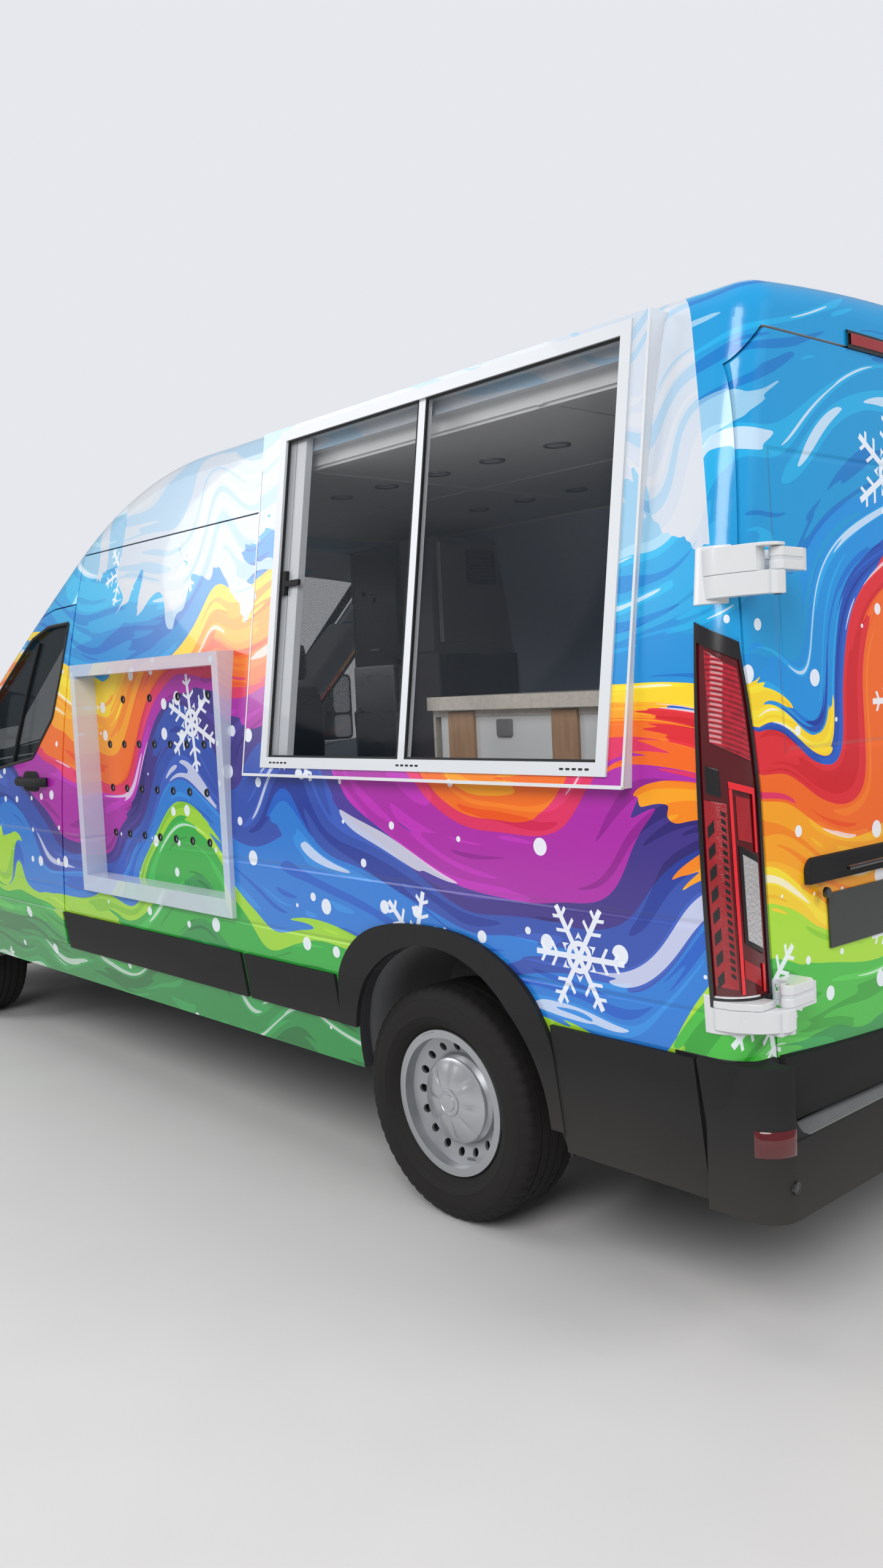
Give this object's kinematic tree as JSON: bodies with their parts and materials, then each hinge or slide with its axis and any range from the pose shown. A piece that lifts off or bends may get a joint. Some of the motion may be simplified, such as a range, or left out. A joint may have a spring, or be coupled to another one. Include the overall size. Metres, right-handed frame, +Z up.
{
  "type": "food truck",
  "caption": "White mid-roof panel van turned into a drinks and shaved-ice truck, with a sliding serving window and a recessed tap wall on its left side.",
  "frame": {"origin": "on the ground, under the middle of the truck", "axes": "+X to the nose, +Y to the truck's left side, +Z up"},
  "size_m": [5.94, 2.466, 2.545],
  "materials": {
    "white_paint": "gloss",
    "black_plastic": "satin",
    "window_frame": "gloss",
    "clear_glass": "clear",
    "lamp_glass": "clear",
    "red_lens": "gloss",
    "stainless": "brushed",
    "plate_white": "satin",
    "chassis_paint": "satin",
    "engine_metal": "cast",
    "silver_wheel": "satin",
    "tyre_rubber": "matte",
    "floor_sheet": "satin",
    "seat_cloth": "woven",
    "pale_lining": "satin",
    "stone_look": "satin",
    "dark_cabinet": "satin"
  },
  "bodies": {
    "truck": {"body_side_left": "white_paint", "body_side_right": "white_paint", "cab_frame": "white_paint", "cab_seats": "seat_cloth", "ceiling_lining": "pale_lining", "chassis_rails": "chassis_paint", "dashboard": "black_plastic", "engine_block": "engine_metal", "exhaust": "stainless", "floor_pan": "floor_sheet", "front_bumper": "black_plastic", "front_subframe": "chassis_paint", "front_wings": "white_paint", "fuel_tank": "black_plastic", "grille": "black_plastic", "headlamps": "lamp_glass", "ice_machine": "stainless", "mud_flaps": "black_plastic", "propeller_shaft": "chassis_paint", "rear_axle": "chassis_paint", "rear_bumper": "black_plastic", "rear_frame": "white_paint", "roof_panel": "white_paint", "scuttle_panel": "white_paint", "service_counter": "stone_look", "serving_frame": "window_frame", "serving_glass": "clear_glass", "serving_panel": "white_paint", "side_cladding": "black_plastic", "side_sills": "white_paint", "sliding_door": "white_paint", "spare_wheel": "tyre_rubber", "steering_wheel": "black_plastic", "tail_lamps": "red_lens", "tall_cabinet": "dark_cabinet", "tap_station": "stainless", "wheel_arch_liners": "black_plastic", "windscreen": "clear_glass"},
    "cab_door_left_body": {"cab_door_left": "white_paint", "cab_glass_left": "clear_glass", "door_mirror_left": "black_plastic"},
    "cab_door_right_body": {"cab_door_right": "white_paint", "cab_glass_right": "clear_glass", "door_mirror_right": "black_plastic"},
    "rear_door_left_body": {"rear_door_left": "white_paint", "rear_door_handle": "black_plastic", "number_plate": "plate_white"},
    "rear_door_right_body": {"rear_door_right": "white_paint"},
    "bonnet_body": {"bonnet": "white_paint"},
    "knuckle_left_body": {"knuckle_left": "chassis_paint"},
    "knuckle_right_body": {"knuckle_right": "chassis_paint"},
    "wheel_front_left": {"rim_front_left": "silver_wheel", "tyre_front_left": "tyre_rubber"},
    "wheel_front_right": {"rim_front_right": "silver_wheel", "tyre_front_right": "tyre_rubber"},
    "wheel_rear_left": {"rim_rear_left": "silver_wheel", "tyre_rear_left": "tyre_rubber"},
    "wheel_rear_right": {"rim_rear_right": "silver_wheel", "tyre_rear_right": "tyre_rubber"}
  },
  "joints": [
    {"name": "cab_door_left_hinge", "type": "hinge", "parent": "truck", "child": "cab_door_left_body", "pos_m": [1.603, 1.031, 1.2], "axis": [0, 0, -1], "range_deg": [0, 68]},
    {"name": "cab_door_right_hinge", "type": "hinge", "parent": "truck", "child": "cab_door_right_body", "pos_m": [1.603, -1.031, 1.2], "axis": [0, 0, 1], "range_deg": [0, 68]},
    {"name": "rear_door_left_hinge", "type": "hinge", "parent": "truck", "child": "rear_door_left_body", "pos_m": [-2.946, 0.932, 1.3], "axis": [0, 0, -1], "range_deg": [0, 180]},
    {"name": "rear_door_right_hinge", "type": "hinge", "parent": "truck", "child": "rear_door_right_body", "pos_m": [-2.946, -0.932, 1.3], "axis": [0, 0, 1], "range_deg": [0, 180]},
    {"name": "bonnet_hinge", "type": "hinge", "parent": "truck", "child": "bonnet_body", "pos_m": [2.098, 0, 1.29], "axis": [0, -1, 0], "range_deg": [0, 55]},
    {"name": "steer_left", "type": "hinge", "parent": "truck", "child": "knuckle_left_body", "pos_m": [1.955, 0.842, 0.35], "axis": [0, 0, 1], "range_deg": [-35, 35]},
    {"name": "steer_right", "type": "hinge", "parent": "truck", "child": "knuckle_right_body", "pos_m": [1.955, -0.842, 0.35], "axis": [0, 0, 1], "range_deg": [-35, 35]},
    {"name": "wheel_front_left_spin", "type": "hinge", "parent": "knuckle_left_body", "child": "wheel_front_left", "pos_m": [1.955, 0.875, 0.35], "axis": [0, 1, 0], "continuous": true},
    {"name": "wheel_front_right_spin", "type": "hinge", "parent": "knuckle_right_body", "child": "wheel_front_right", "pos_m": [1.955, -0.875, 0.35], "axis": [0, 1, 0], "continuous": true},
    {"name": "wheel_rear_left_spin", "type": "hinge", "parent": "truck", "child": "wheel_rear_left", "pos_m": [-1.805, 0.875, 0.35], "axis": [0, 1, 0], "continuous": true},
    {"name": "wheel_rear_right_spin", "type": "hinge", "parent": "truck", "child": "wheel_rear_right", "pos_m": [-1.805, -0.875, 0.35], "axis": [0, 1, 0], "continuous": true}
  ],
  "couplings": [
    {"joint": "steer_right", "follows": "steer_left", "ratio": 1}
  ]
}
